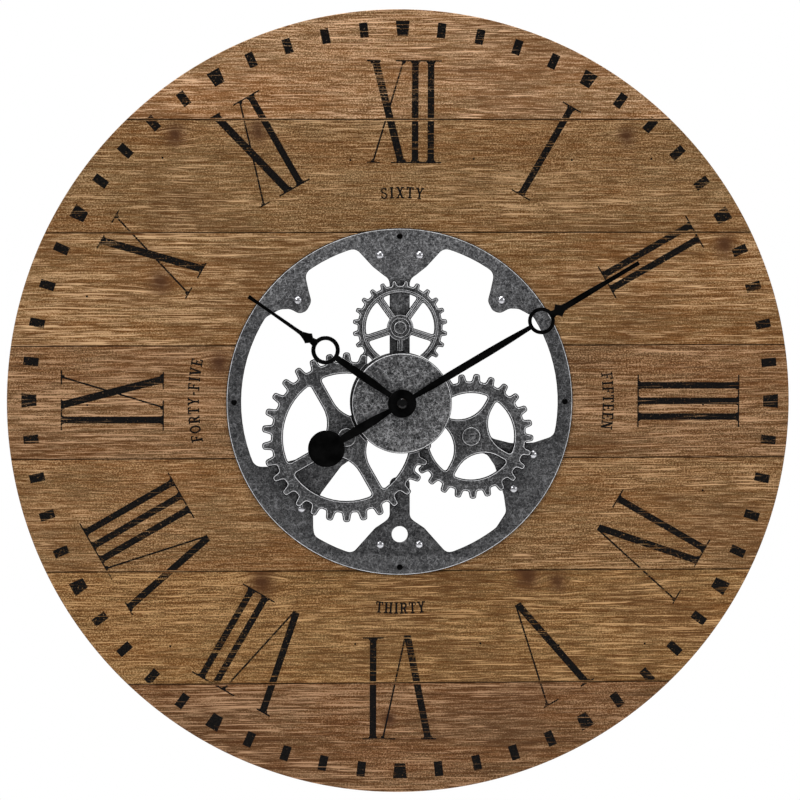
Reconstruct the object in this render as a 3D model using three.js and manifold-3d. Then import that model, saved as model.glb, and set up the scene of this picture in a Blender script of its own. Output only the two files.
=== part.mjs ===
// Round planked wall clock with an open gear centre and a battery movement.
// Millimetres. +X right, +Z up, the dial faces -Y, the back lies on the wall plane y = 0.
// The dial and hand axis is the Y axis. Clock angles are degrees clockwise from twelve.
import * as THREE from "three";
import Module from "manifold-3d";

const wasm = await Module();
wasm.setup();
const { Manifold, CrossSection } = wasm;

// ---- driving dimensions -------------------------------------------------------------
const GAP = 0.3;                 // clearance between touching pieces
const DIAL_R = 342.9;            // 27 in dial
const ROWS = 7;
const ROW_PITCH = 98.7;
const SEAM = 0.4;                // gap between neighbouring boards
const WELL_R = 140.5;            // round hole through the boards
const BATTEN_T = 14;
const BATTEN_W = 40;
const BOARD_T = 12;
const BOARD_BACK = -(BATTEN_T + GAP);
const BOARD_FACE = BOARD_BACK - BOARD_T;
const STILE_X = 271;
const STILE_HALF = 165;
const RAIL_Z = 210;
const RAIL_HALF = 245;
const CLEAT_HALF = 80;
const CLEAT_TOP = 322;

const PLATE_T = 1.8;
const PLATE_BACK = BOARD_FACE - GAP;
const PLATE_FACE = PLATE_BACK - PLATE_T;
const PLATE_R = 151.9;
const RIM_IN_R = 138.8;
const HUB_R = 43.3;
const HUB_HOLE_R = 38.3;
const RIM_SCREW_R = 145;
const STRUT_HALF = 8.8;

const GEAR_T = 3;
const REAR_GEAR_BACK = PLATE_FACE - 2.6;
const FRONT_GEAR_BACK = REAR_GEAR_BACK - GEAR_T - 2.6;
const LARGE_AT = [-47.1, -30.3];
const MEDIUM_AT = [62.2, -30.1];
const SMALL_AT = [0, 65.2];
const BOLT_HEAD_R = 8.3;

const CUP_R = 43.8;
const CUP_WALL = 1.2;
const CUP_RIM = PLATE_FACE - GAP;
const CUP_FACE = -55.0;
const CUP_CLEAR_R = CUP_R + 0.6; // the gears are cut away round the cup

const CASE_HALF = 27.5;          // 55 mm square movement
const CASE_WALL = 1.2;
const CASE_FACE = CUP_FACE + 1.5 + GAP;
const CASE_REAR = CASE_FACE + 14.5;
const LID_REAR = CASE_FACE + 16;
const WHEEL_ROOM_Z = -10.9;      // partition between wheels and battery
const BATTERY_R = 7.25;
const BATTERY_LEN = 50.5;

const MINUTE_DEG = 59.4;         // ten past ten
const HOUR_DEG = 300 + MINUTE_DEG / 12;
const HAND_T = 1.2;
const BOSS_R = 12.5;

// ---- materials ----------------------------------------------------------------------
const look = (hex, rough, metal) => () =>
  new THREE.MeshStandardMaterial({ color: hex, roughness: rough, metalness: metal });
const OAK = look(0x87623f, 0.7, 0.0);
const OAK_DARK = look(0x7a5737, 0.72, 0.0);
const PINE = look(0xb08d5e, 0.8, 0.0);
const IRON = look(0x4a4a4d, 0.55, 0.85);
const PEWTER = look(0x57575b, 0.5, 0.85);
const CHROME = look(0xb9b9bd, 0.2, 1.0);
const BLACK = look(0x0c0c0d, 0.45, 0.2);
const ZINC = look(0x9b9ca0, 0.4, 0.9);
const PLASTIC = look(0x1b1b1d, 0.6, 0.0);
const NYLON = look(0xe6e2d6, 0.5, 0.0);
const BRASS = look(0xb08d4a, 0.35, 0.9);
const CELL = look(0x3c4f6b, 0.4, 0.3);

const group = new THREE.Group();
group.name = "gear_wall_clock";
const section = (name, x = 0, z = 0) => {
  const g = new THREE.Group();
  g.name = name;
  g.position.set(x, 0, z);
  group.add(g);
  return g;
};
const dial = section("dial");
const backFrame = section("back_frame");
const gearWork = section("gear_work");
const movement = section("movement");
const hands = section("hands");

// ---- helpers ------------------------------------------------------------------------
const rad = (d) => (d * Math.PI) / 180;
// point at a clock angle and radius, as [x, z]
const clock = (deg, r, at = [0, 0]) => [at[0] + r * Math.sin(rad(deg)), at[1] + r * Math.cos(rad(deg))];
const disc = (r, n = 48, at = [0, 0]) => CrossSection.circle(r, n).translate(at);
const poly = (pts) => new CrossSection([pts], "Positive");
// polygon whatever its winding
const area = (pts) => pts.reduce((sum, p, i) => {
  const q = pts[(i + 1) % pts.length];
  return sum + (p[0] * q[1] - q[0] * p[1]) / 2;
}, 0);
const shape = (pts) => poly(area(pts) < 0 ? [...pts].reverse() : pts);
const box2 = (x0, z0, x1, z1) => shape([[x0, z0], [x1, z0], [x1, z1], [x0, z1]]);
const all = (list) => CrossSection.union(list);
// round the outward corners by a, then the inward corners by b
const soften = (s, a, b, n) => {
  let t = s;
  if (a) t = t.offset(-a, "Round", 2, n).offset(a, "Round", 2, n);
  if (b) t = t.offset(b, "Round", 2, n).offset(-b, "Round", 2, n);
  return t;
};
// sheet between two depths; the drawing plane (x, z) is stood up facing -Y
const sheet = (s, back, face) => s.extrude(back - face).rotate([90, 0, 0]).translate([0, back, 0]);
// body turned about the Y axis; profile is [radius, y] pairs, closed on the axis
const turned = (profile, n) =>
  Manifold.revolve(shape(profile.map(([r, y]) => [r, -y])), n).rotate([90, 0, 0]);
const block = (x0, x1, y0, y1, z0, z1) =>
  Manifold.cube([x1 - x0, y1 - y0, z1 - z0]).translate([x0, y0, z0]);

// one named mesh, made about its own point and set at (x, z), turned clockwise by deg
function add(parent, name, solid, material, at = [0, 0], deg = 0) {
  const mesh = solid.getMesh();
  const count = mesh.numProp;
  const pos = new Float32Array((mesh.vertProperties.length / count) * 3);
  for (let i = 0; i < pos.length / 3; i++)
    for (let k = 0; k < 3; k++) pos[3 * i + k] = mesh.vertProperties[i * count + k];
  const geo = new THREE.BufferGeometry();
  geo.setAttribute("position", new THREE.BufferAttribute(pos, 3));
  geo.setIndex(new THREE.BufferAttribute(new Uint32Array(mesh.triVerts), 1));
  const out = geo.toNonIndexed();
  out.computeVertexNormals();
  const m = new THREE.Mesh(out, material());
  m.name = name;
  m.position.set(at[0], 0, at[1]);
  m.rotation.y = rad(deg);
  parent.add(m);
}

// ---- boards -------------------------------------------------------------------------
const dialDisc = disc(DIAL_R, 144);
const well = disc(WELL_R, 80);
const row = (k) => {             // k = 0 at the top
  const mid = ((ROWS - 1) / 2 - k) * ROW_PITCH;
  const lo = k === ROWS - 1 ? -DIAL_R - 1 : mid - ROW_PITCH / 2 + SEAM / 2;
  const hi = k === 0 ? DIAL_R + 1 : mid + ROW_PITCH / 2 - SEAM / 2;
  return dialDisc.intersect(box2(-DIAL_R - 1, lo, DIAL_R + 1, hi)).subtract(well);
};
// pilot holes for the four rim screws
let pilots = sheet(disc(1.8, 10, clock(0, RIM_SCREW_R)), BOARD_FACE + 9, BOARD_FACE - 1);
for (const a of [90, 180, 270])
  pilots = pilots.add(sheet(disc(1.8, 10, clock(a, RIM_SCREW_R)), BOARD_FACE + 9, BOARD_FACE - 1));
for (let k = 0; k < ROWS; k++) {
  const halves = k === 3 ? [["_left", -1], ["_right", 1]] : [["", 0]];
  for (const [tag, side] of halves) {
    let s = row(k);
    if (side) s = s.intersect(box2(side < 0 ? -400 : 0, -60, side < 0 ? 0 : 400, 60));
    let solid = sheet(s, BOARD_BACK, BOARD_FACE);
    if (k >= 2 && k <= 4) solid = solid.subtract(pilots);
    add(dial, `board_row_${k + 1}${tag}`, solid, k % 2 ? OAK_DARK : OAK);
  }
}

// ---- battens behind the boards ------------------------------------------------------
const hw = BATTEN_W / 2;
for (const [tag, s] of [["left", -1], ["right", 1]])
  add(backFrame, `batten_${tag}`, block(-hw, hw, -BATTEN_T, 0, -STILE_HALF, STILE_HALF), PINE,
    [s * STILE_X, 0]);
for (const [tag, s] of [["top", 1], ["bottom", -1]])
  add(backFrame, `batten_${tag}`, block(-RAIL_HALF, RAIL_HALF, -BATTEN_T, 0, -hw, hw), PINE, [0, s * RAIL_Z]);
const CLEAT_LOW = RAIL_Z + hw + GAP;
const CLEAT_Z = (CLEAT_LOW + CLEAT_TOP) / 2;
const CLEAT_H = (CLEAT_TOP - CLEAT_LOW) / 2;
const HANG_Z = 290;              // middle of the hanger plate
const HANG_UP = HANG_Z - CLEAT_Z;
const HANG_BACK = -2.5;
const HANG_T = 1.2;
const cleat = block(-CLEAT_HALF, CLEAT_HALF, -BATTEN_T, 0, -CLEAT_H, CLEAT_H);
const pocket = block(-31, 31, -4.0, 1, HANG_UP - 11, HANG_UP + 11);
const nailRoom = sheet(box2(-7, HANG_UP - 9, 7, HANG_UP + 10), 0, -11);
let bored = cleat.subtract(pocket).subtract(nailRoom);
for (const x of [-22, 22]) bored = bored.subtract(sheet(disc(1.8, 10, [x, HANG_UP]), 0, -12));
add(backFrame, "cleat_top", bored, PINE, [0, CLEAT_Z]);
add(backFrame, "cleat_bottom", cleat, PINE, [0, -CLEAT_Z]);
const keyhole = all([disc(4.5, 20, [0, -3]), disc(2.2, 14, [0, 5]), box2(-2.2, -3, 2.2, 5)]);
let hanger = soften(box2(-30, -10, 30, 10), 4, 0, 16).subtract(keyhole);
for (const x of [-22, 22]) hanger = hanger.subtract(disc(1.9, 12, [x, 0]));
add(backFrame, "hanger_plate", sheet(hanger, HANG_BACK, HANG_BACK - HANG_T), ZINC, [0, HANG_Z]);
const hangScrew = turned([[0, -0.9], [2.2, -0.9], [3.2, -1.5], [3.2, HANG_BACK + GAP],
  [1.5, HANG_BACK + GAP], [1.5, -10], [0, -11.6]], 14);
for (const [tag, x] of [["left", -22], ["right", 22]])
  add(backFrame, `hanger_screw_${tag}`, hangScrew, ZINC, [x, HANG_Z]);

// ---- gear plate ---------------------------------------------------------------------
// rim arc points between two clock angles
const arc = (a0, a1, r, n, at) =>
  Array.from({ length: n + 1 }, (_, i) => clock(a0 + ((a1 - a0) * i) / n, r, at));
// the top lobe and the tab are the same, mirrored, on both sides
const upper = (s) => [
  [s * STRUT_HALF, 30], [s * STRUT_HALF, 108], [s * 13.5, 110.4], [s * 23.5, 118.2],
  ...arc(s * 16.0, s * 36.4, RIM_IN_R + 1.2, 6),
  [s * 79.6, 97], [s * 77.2, 88], [s * 81.5, 79.5], [s * 88, 77.2], [s * 96, 81.6], [s * 104.5, 81.2],
];
const rightOpening = shape([
  ...upper(1), ...arc(57.6, 102.6, RIM_IN_R, 12), [118, -36], [97.8, -36.5], [81.5, -32.4],
  [73, -23], [58, -20.4], [46.4, -17.5], [30, -8.0],
]);
const leftOpening = shape([
  ...upper(-1), ...arc(-57.6, -113.6, RIM_IN_R, 14), [-121, -56.4], [-115.8, -56.4],
  [-83.4, -48.2], [-64, -37.5], [-51.5, -15.5], [-30, -6],
]);
const lowerOpening = shape([
  [STRUT_HALF, -66], [STRUT_HALF, -101.5], [13.9, -105.4], [21.5, -110.4],
  ...arc(162.6, 142.6, RIM_IN_R + 0.6, 6), [93.6, -97], [91.5, -82], [83.4, -56], [77.3, -46.9], [67.5, -43],
  [54, -37.6], [43.6, -22.9], [28, -14], [-20, -20], [-37.5, -46.5], [-51.4, -56.2], [-68.9, -79.5],
  [-76, -96], [-75.8, -110], ...arc(212.6, 197.4, RIM_IN_R + 0.2, 5), [-21.5, -110.4], [-13.9, -105.4],
  [-STRUT_HALF, -101.5], [-STRUT_HALF, -66],
]);
const RIVETS = [
  ["top_left", -7.7, 129.6], ["top_right", 7.7, 129.6], ["tab_left", -45, 126], ["tab_right", 45, 126],
  ["right_upper", 111.6, 126], ["right_lower", 127.4, 126], ["bottom_right", 172.2, 126],
  ["bottom_left", 187.8, 126], ["left_lower", 222.8, 126.6], ["left_upper", 238.6, 126],
];
const GEAR_BOLTS = [["large", LARGE_AT], ["medium", MEDIUM_AT], ["small", SMALL_AT]];
const CUP_SCREWS = [["top", 0], ["right", 116], ["left", 236]];
const CUP_SCREW_R = 40.8;
let plate = disc(PLATE_R, 112)
  .subtract(soften(rightOpening, 8, 7, 28)).subtract(soften(leftOpening, 8, 7, 28))
  .subtract(soften(lowerOpening, 7, 6, 28))
  .add(disc(HUB_R, 48)).subtract(disc(HUB_HOLE_R, 40))
  .subtract(disc(7.1, 24, clock(180, 116)));
for (const [, a, r] of RIVETS) plate = plate.subtract(disc(2.0, 8, clock(a, r)));
for (const a of [0, 90, 180, 270]) plate = plate.subtract(disc(1.8, 10, clock(a, RIM_SCREW_R)));
for (const [, at] of GEAR_BOLTS) plate = plate.subtract(disc(3.3, 14, at));
for (const [, a] of CUP_SCREWS) plate = plate.subtract(disc(1.5, 10, clock(a, CUP_SCREW_R)));
plate = plate.simplify(0.08);
add(gearWork, "gear_plate", sheet(plate, PLATE_BACK, PLATE_FACE), IRON);

const rivet = turned([[0, PLATE_FACE - 2.7], [2.0, PLATE_FACE - 2.2], [3.5, PLATE_FACE - GAP],
  [1.7, PLATE_FACE - GAP], [1.7, PLATE_BACK + GAP], [2.8, PLATE_BACK + GAP], [1.8, PLATE_BACK + 1.3],
  [0, PLATE_BACK + 1.3]], 10);
for (const [tag, a, r] of RIVETS) add(gearWork, `rivet_${tag}`, rivet, CHROME, clock(a, r));
const rimScrew = turned([[0, PLATE_FACE - 1.5], [1.6, PLATE_FACE - 1.3], [2.6, PLATE_FACE - GAP],
  [1.5, PLATE_FACE - GAP], [1.5, BOARD_FACE + 7.2], [0, BOARD_FACE + 8.7]], 12);
for (const [tag, a] of [["top", 0], ["right", 90], ["bottom", 180], ["left", 270]])
  add(gearWork, `rim_screw_${tag}`, rimScrew, BLACK, clock(a, RIM_SCREW_R));

// ---- decorative gears ---------------------------------------------------------------
// outline of a cast gear: rounded teeth on a root disc
function toothed(n, phase, tip, root, baseHalf, tipHalf, roundTip, roundRoot, seg) {
  const parts = [disc(root, n * 3)];
  for (let i = 0; i < n; i++)
    parts.push(shape([[-baseHalf, root - 2.5], [baseHalf, root - 2.5], [tipHalf, tip], [-tipHalf, tip]])
      .rotate(-(phase + (360 / n) * i)));
  return soften(all(parts), roundTip, roundRoot, seg).simplify(0.12);
}
// windows between n spokes, which flare into the hub where roundIn is large
function windows(n, phase, inner, outer, half, roundIn, roundOut, seg) {
  const list = [];
  for (let i = 0; i < n; i++) {
    const a = phase + (360 / n) * i;
    const b = a + 360 / n;
    const reach = outer * 3;
    const wedge = shape([[0, 0], ...arc(a, b, reach, 6)]);
    const bar = (d) => box2(-half, -half, half, reach + 5).rotate(-d);
    const big = wedge.subtract(bar(a)).subtract(bar(b)).subtract(disc(inner, 48));
    list.push(soften(soften(big, roundIn, 0, seg).intersect(disc(outer, 60)), roundOut, 0, seg));
  }
  return all(list).simplify(0.08);
}
const cupRoom = (at) => disc(CUP_CLEAR_R, 54, [-at[0], -at[1]]);
const REAR_GEAR_FACE = REAR_GEAR_BACK - GEAR_T;
const FRONT_GEAR_FACE = FRONT_GEAR_BACK - GEAR_T;

const large = toothed(30, 0, 74.2, 66.0, 4.6, 2.8, 2.4, 2.3, 14)
  .subtract(windows(4, 60.4, 18.8, 55.7, 5.3, 27, 2.5, 40))
  .subtract(disc(3.3, 14)).subtract(cupRoom(LARGE_AT));
add(gearWork, "large_gear", sheet(large, FRONT_GEAR_BACK, FRONT_GEAR_FACE), PEWTER, LARGE_AT);

const medium = toothed(25, 5.35, 54.8, 48.1, 4.1, 2.6, 2.2, 2.0, 14)
  .subtract(windows(4, 29.8, 16.4, 37.9, 3.9, 26, 2.0, 40))
  .subtract(disc(3.3, 14)).subtract(cupRoom(MEDIUM_AT));
add(gearWork, "medium_gear", sheet(medium, REAR_GEAR_BACK, REAR_GEAR_FACE), PEWTER, MEDIUM_AT);

// the small gear is thicker in its hub and ring, with narrow ribs along its spokes
const smallFlat = toothed(24, 7.5, 41.5, 37.1, 3.0, 1.8, 1.5, 1.5, 12)
  .subtract(windows(5, 36, 11.2, 30.0, 3.1, 1.5, 1.5, 12))
  .subtract(disc(3.3, 14)).subtract(cupRoom(SMALL_AT));
let raised = disc(33.7, 48).subtract(disc(31.0, 48)).add(disc(11.6, 28));
for (let i = 0; i < 5; i++) raised = raised.add(box2(-1.5, 9, 1.5, 32).rotate(-(36 + 72 * i)));
raised = raised.subtract(disc(7.7, 20)).subtract(cupRoom(SMALL_AT)).simplify(0.08);
add(gearWork, "small_gear", sheet(smallFlat, REAR_GEAR_BACK, REAR_GEAR_FACE)
  .add(sheet(raised, REAR_GEAR_FACE + 0.5, REAR_GEAR_FACE - 1.1)), PEWTER, SMALL_AT);

// headed pins and spacers that carry the gears on the plate
const GEAR_FACES = { large: FRONT_GEAR_FACE, medium: REAR_GEAR_FACE, small: REAR_GEAR_FACE };
for (const [tag, at] of GEAR_BOLTS) {
  const face = GEAR_FACES[tag] - GAP;
  const head = tag === "small" ? 7.0 : BOLT_HEAD_R;
  const high = tag === "small" ? 1.0 : 1.5;
  add(gearWork, `${tag}_gear_pin`,
    turned([[0, face - high], [head - 0.7, face - high], [head, face - high + 0.6], [head, face],
      [3.0, face], [3.0, PLATE_BACK + GAP], [5.0, PLATE_BACK + GAP], [4.2, PLATE_BACK + 1.8],
      [0, PLATE_BACK + 1.8]], 28), PEWTER, at);
  const end = GEAR_FACES[tag] + GEAR_T + GAP;
  add(gearWork, `${tag}_gear_spacer`,
    turned([[3.3, PLATE_FACE - GAP], [8.5, PLATE_FACE - GAP], [8.5, end], [3.3, end]], 22), ZINC, at);
}

// ---- centre cup ---------------------------------------------------------------------
let cup = turned([[4.3, CUP_FACE], [CUP_R - 1.0, CUP_FACE], [CUP_R - 0.3, CUP_FACE + 0.3],
  [CUP_R, CUP_FACE + 1], [CUP_R, CUP_RIM], [HUB_HOLE_R, CUP_RIM], [HUB_HOLE_R, CUP_RIM - 1.5],
  [CUP_R - CUP_WALL, CUP_RIM - 1.5],
  [CUP_R - CUP_WALL, CUP_FACE + 1.5], [4.3, CUP_FACE + 1.5]], 54);
for (const [, a] of CUP_SCREWS)
  cup = cup.subtract(sheet(disc(1.5, 10, clock(a, CUP_SCREW_R)), CUP_RIM + 1, CUP_RIM - 2.5));
add(gearWork, "centre_cup", cup, PEWTER);
const cupScrew = turned([[0, PLATE_BACK + 1.8], [1.6, PLATE_BACK + 1.8], [2.3, PLATE_BACK + 1.2],
  [2.3, PLATE_BACK + GAP], [1.2, PLATE_BACK + GAP], [1.2, CUP_RIM - 2.2], [0, CUP_RIM - 2.8]], 12);
for (const [tag, a] of CUP_SCREWS) add(gearWork, `cup_screw_${tag}`, cupScrew, ZINC, clock(a, CUP_SCREW_R));

// ---- movement case ------------------------------------------------------------------
const outer = soften(box2(-CASE_HALF, -CASE_HALF, CASE_HALF, CASE_HALF), 3, 0, 24);
const inside = CASE_HALF - CASE_WALL;
const wheelRoom = soften(box2(-inside, WHEEL_ROOM_Z + CASE_WALL / 2, inside, inside), 1.8, 0, 16);
const cellRoom = soften(box2(-inside, -inside, inside, WHEEL_ROOM_Z - CASE_WALL / 2), 1.8, 0, 16);
const BUSH_END = CUP_FACE - 3.4;
let caseBody = sheet(outer, CASE_REAR, CASE_FACE)
  .subtract(sheet(wheelRoom, CASE_REAR + 1, CASE_FACE + CASE_WALL))
  .subtract(sheet(cellRoom, CASE_REAR + 1, CASE_FACE + CASE_WALL))
  .add(turned([[0, CASE_FACE + 0.5], [4.0, CASE_FACE + 0.5], [4.0, BUSH_END], [0, BUSH_END]], 28))
  .subtract(turned([[0, CASE_FACE + 3], [2.9, CASE_FACE + 3], [2.9, BUSH_END - 1], [0, BUSH_END - 1]], 24));
add(movement, "movement_case", caseBody, PLASTIC);

// wheel positions inside the case
const TRAIN_MODULE = 0.53;
const CENTRE_TEETH = 36;
const THIRD_PINION = 6;
const CANNON_TEETH = 10;
const MOTION_TEETH = 30;
const MOTION_PINION = 8;
const HOUR_TEETH = 32;
const SET_TEETH = 10;
const MOTION_DIST = 12;
const MOTION_MODULE = (2 * MOTION_DIST) / (CANNON_TEETH + MOTION_TEETH);
const HOUR_MODULE = (2 * MOTION_DIST) / (MOTION_PINION + HOUR_TEETH);
const MOTION_DIR = 300;
const THIRD_DIR = 54;
const SET_DIR = 340;
const MOTION_AT = clock(MOTION_DIR, MOTION_DIST);
const THIRD_AT = clock(THIRD_DIR, (TRAIN_MODULE * (CENTRE_TEETH + THIRD_PINION)) / 2);
const SET_AT = clock(SET_DIR, (MOTION_MODULE * (SET_TEETH + MOTION_TEETH)) / 2, MOTION_AT);

// lid over the wheels; the battery bay stays open at the back
const lidShape = outer.intersect(box2(-30, WHEEL_ROOM_Z, 30, 30)).subtract(disc(1.9, 16, SET_AT));
add(movement, "movement_lid", sheet(lidShape, LID_REAR, CASE_REAR + GAP), PLASTIC);

// a small wheel with thin straight teeth and running clearance; a tooth stands at deg
const smallWheel = (n, m, deg) => {
  const pitch = Math.PI * m;
  const r = (m * n) / 2;
  const pts = [];
  for (let i = 0; i < n; i++) {
    const mid = deg + (360 / n) * i;
    const step = (w, rr) => ((w * pitch) / 2 / rr) * (180 / Math.PI);
    const tip = r + 0.72 * m;
    const root = r - 1.0 * m;
    pts.push(clock(mid - step(0.52, root), root), clock(mid - step(0.2, tip), tip),
      clock(mid + step(0.2, tip), tip), clock(mid + step(0.52, root), root));
  }
  return shape(pts);
};
// phase for the follower so that a gap meets the leader's tooth on the line of centres
const facing = (lead, leadTeeth, dir, n) => dir + 180 + 180 / n - ((lead - dir) * leadTeeth) / n;

// minute arbor: rear pivot, centre wheel, cannon pinion and the threaded end in one
const ARBOR_REAR = CASE_REAR - 0.4;
const ARBOR_TIP = -62.6;
const centreWheel = smallWheel(CENTRE_TEETH, TRAIN_MODULE, THIRD_DIR);
const cannon = smallWheel(CANNON_TEETH, MOTION_MODULE, MOTION_DIR);
add(movement, "minute_arbor", turned([[0, ARBOR_REAR], [1.0, ARBOR_REAR], [1.6, ARBOR_REAR - 1],
  [1.6, ARBOR_TIP + 0.5], [1.2, ARBOR_TIP], [0, ARBOR_TIP]], 18)
  .add(sheet(centreWheel, -44.0, -45.0)).add(sheet(cannon, -46.3, -48.5)), BRASS);

// third wheel: eight-leaf pinion against the centre wheel
const FRONT_PIVOT = CASE_FACE + CASE_WALL + 0.4;
const arbor = (r, rear, n) => turned([[0, rear], [r, rear], [r, FRONT_PIVOT], [0, FRONT_PIVOT]], n);
const thirdPinion = smallWheel(THIRD_PINION, TRAIN_MODULE, THIRD_DIR + 180 + 180 / THIRD_PINION);
const thirdWheel = smallWheel(24, 0.55, 0);
add(movement, "third_wheel", arbor(0.6, ARBOR_REAR, 10)
  .add(sheet(thirdPinion, -43.6, -45.4)).add(sheet(thirdWheel, -41.9, -42.8)), NYLON, THIRD_AT);

// motion wheel and its pinion, between the cannon pinion and the hour wheel
const motionWheel = smallWheel(MOTION_TEETH, MOTION_MODULE, MOTION_DIR + 180 + 180 / MOTION_TEETH);
const motionPinion = smallWheel(MOTION_PINION, HOUR_MODULE, MOTION_DIR + 180);
add(movement, "motion_wheel", arbor(0.9, ARBOR_REAR, 12)
  .add(sheet(motionWheel, -46.7, -48.1)).add(sheet(motionPinion, -48.0, -50.9)), NYLON, MOTION_AT);

// hour wheel with the pipe that carries the hour hand
const HOUR_HAND_FACE = -60.2;
const hourWheel = smallWheel(HOUR_TEETH, HOUR_MODULE, MOTION_DIR + 180 / HOUR_TEETH).subtract(disc(1.9, 20));
add(movement, "hour_wheel", sheet(hourWheel, -49.4, -50.6)
  .add(turned([[1.9, -49.4], [2.6, -49.4], [2.6, HOUR_HAND_FACE + 0.2], [1.9, HOUR_HAND_FACE + 0.2]], 24)),
  NYLON);

// hand-setting knob behind the lid, its pinion on the motion wheel
const setTooth = facing(MOTION_DIR + 180 + 180 / MOTION_TEETH, MOTION_TEETH, SET_DIR, SET_TEETH);
const setPinion = smallWheel(SET_TEETH, MOTION_MODULE, setTooth);
const knobGrip = [];
for (let i = 0; i < 16; i++) knobGrip.push(clock(22.5 * i, 6.2), clock(22.5 * i + 11.25, 5.6));
add(movement, "setting_knob", arbor(1.5, LID_REAR + 1, 14)
  .add(sheet(setPinion, -46.7, -48.1)).add(sheet(shape(knobGrip), LID_REAR + 3.6, LID_REAR + 0.4)),
  PLASTIC, SET_AT);

// sealed motor block in the free corner of the case
add(movement, "motor_block", block(3, 24, CASE_REAR - 11.6, CASE_REAR - 1.4, 16.0, 25.6), BRASS);

// AA cell, lying across the bottom bay, button end to the right
const CELL_Y = CASE_FACE + CASE_WALL + GAP + BATTERY_R;
const CELL_Z = (-inside + WHEEL_ROOM_Z - CASE_WALL / 2) / 2;
const half = BATTERY_LEN / 2;
const cellProfile = shape([[0, -half], [BATTERY_R - 0.4, -half], [BATTERY_R, -half + 0.6],
  [BATTERY_R, half - 1.8], [BATTERY_R - 0.6, half - 1.2], [2.7, half - 1.2], [2.7, half], [0, half]]);
add(movement, "battery", Manifold.revolve(cellProfile, 28).rotate([0, 90, 0]).translate([0, CELL_Y, 0]),
  CELL, [0, CELL_Z]);

// ---- fixing nut and hands -----------------------------------------------------------
const hex = shape(Array.from({ length: 6 }, (_, i) => clock(60 * i, 6.9))).subtract(disc(4.3, 28));
add(movement, "bush_nut", sheet(hex, CUP_FACE - GAP, CUP_FACE - GAP - 2.4), BRASS);

// blade from [distance, half width] pairs along the hand, mirrored
const blade = (list) =>
  shape([...list.map(([s, w]) => [w, s]), ...[...list].reverse().map(([s, w]) => [-w, s])]);
const ring = (s, ro, ri) => disc(ro, 36, [0, s]).subtract(disc(ri, 30, [0, s]));
const hourHand = all([
  disc(BOSS_R, 44), ring(81.3, 12.5, 8.8),
  blade([[8, 2.2], [14, 2.3], [28, 3.2], [42, 3.6], [58, 3.2], [71, 2.6]]),
  blade([[92.4, 3.9], [94.6, 3.1], [96.6, 2.9], [99.4, 5.4], [101, 4.3], [103.6, 3.2], [107, 2.0], [112, 1.7],
    [135, 1.45], [152, 1.5], [163, 1.8]]),
]).subtract(disc(2.9, 20)).simplify(0.04);
add(hands, "hour_hand", sheet(hourHand, HOUR_HAND_FACE + HAND_T, HOUR_HAND_FACE), BLACK, [0, 0], HOUR_DEG);

const MINUTE_FACE = HOUR_HAND_FACE - GAP - HAND_T - 0.2;
const minuteHand = all([
  disc(BOSS_R - 0.2, 44), ring(141, 11.8, 8.5),
  blade([[8, 2.0], [14, 2.2], [30, 3.0], [50, 3.3], [88, 3.25], [108, 2.9], [130, 2.0]]),
  blade([[151.6, 3.7], [153.8, 3.0], [155.6, 3.0], [158.6, 6.4], [160.4, 4.6], [163, 3.1], [168, 2.8],
    [190, 2.6], [206, 2.1], [225, 1.9], [240, 1.9]]),
  blade([[-8, 2.0], [-14, 2.3], [-26, 3.6], [-42, 4.3], [-54, 3.8], [-64, 3.0]]),
  disc(16.1, 44, [0, -76.7]),
]).subtract(disc(1.9, 18)).simplify(0.04);
add(hands, "minute_hand", sheet(minuteHand, MINUTE_FACE + HAND_T, MINUTE_FACE), BLACK, [0, 0], MINUTE_DEG);

// domed cap nut, blind over the end of the arbor
add(hands, "hand_nut", turned([[1.9, MINUTE_FACE - GAP], [4.6, MINUTE_FACE - GAP], [4.6, MINUTE_FACE - 1.0],
  [4.0, MINUTE_FACE - 1.7], [2.6, MINUTE_FACE - 2.15], [0, MINUTE_FACE - 2.3], [0, ARBOR_TIP - GAP],
  [1.9, ARBOR_TIP - GAP]], 24), BLACK);

export default group;
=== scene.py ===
import math

import bmesh
import bpy
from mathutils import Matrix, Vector
from mathutils.geometry import delaunay_2d_cdt, tessellate_polygon


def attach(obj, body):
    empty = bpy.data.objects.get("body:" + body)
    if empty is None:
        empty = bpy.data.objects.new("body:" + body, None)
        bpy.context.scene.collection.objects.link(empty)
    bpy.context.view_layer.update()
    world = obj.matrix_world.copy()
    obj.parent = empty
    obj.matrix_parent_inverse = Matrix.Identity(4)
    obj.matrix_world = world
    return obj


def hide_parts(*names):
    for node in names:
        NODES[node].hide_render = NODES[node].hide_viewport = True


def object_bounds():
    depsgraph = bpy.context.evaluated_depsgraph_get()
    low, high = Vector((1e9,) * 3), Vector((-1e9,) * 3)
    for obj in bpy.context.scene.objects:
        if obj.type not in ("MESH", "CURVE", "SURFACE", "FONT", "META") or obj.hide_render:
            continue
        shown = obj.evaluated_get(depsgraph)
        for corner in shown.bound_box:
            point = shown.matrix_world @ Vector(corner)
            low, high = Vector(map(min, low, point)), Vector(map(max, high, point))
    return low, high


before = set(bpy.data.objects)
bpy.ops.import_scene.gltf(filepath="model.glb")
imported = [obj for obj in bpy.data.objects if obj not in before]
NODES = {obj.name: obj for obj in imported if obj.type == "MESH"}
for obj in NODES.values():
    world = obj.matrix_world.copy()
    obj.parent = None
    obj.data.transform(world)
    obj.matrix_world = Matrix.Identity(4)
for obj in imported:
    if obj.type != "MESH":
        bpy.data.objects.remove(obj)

CAD_BOX = [[float(c) for c in p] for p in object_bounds()]
MM = 0.001
FIXED = "clock_frame"

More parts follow.
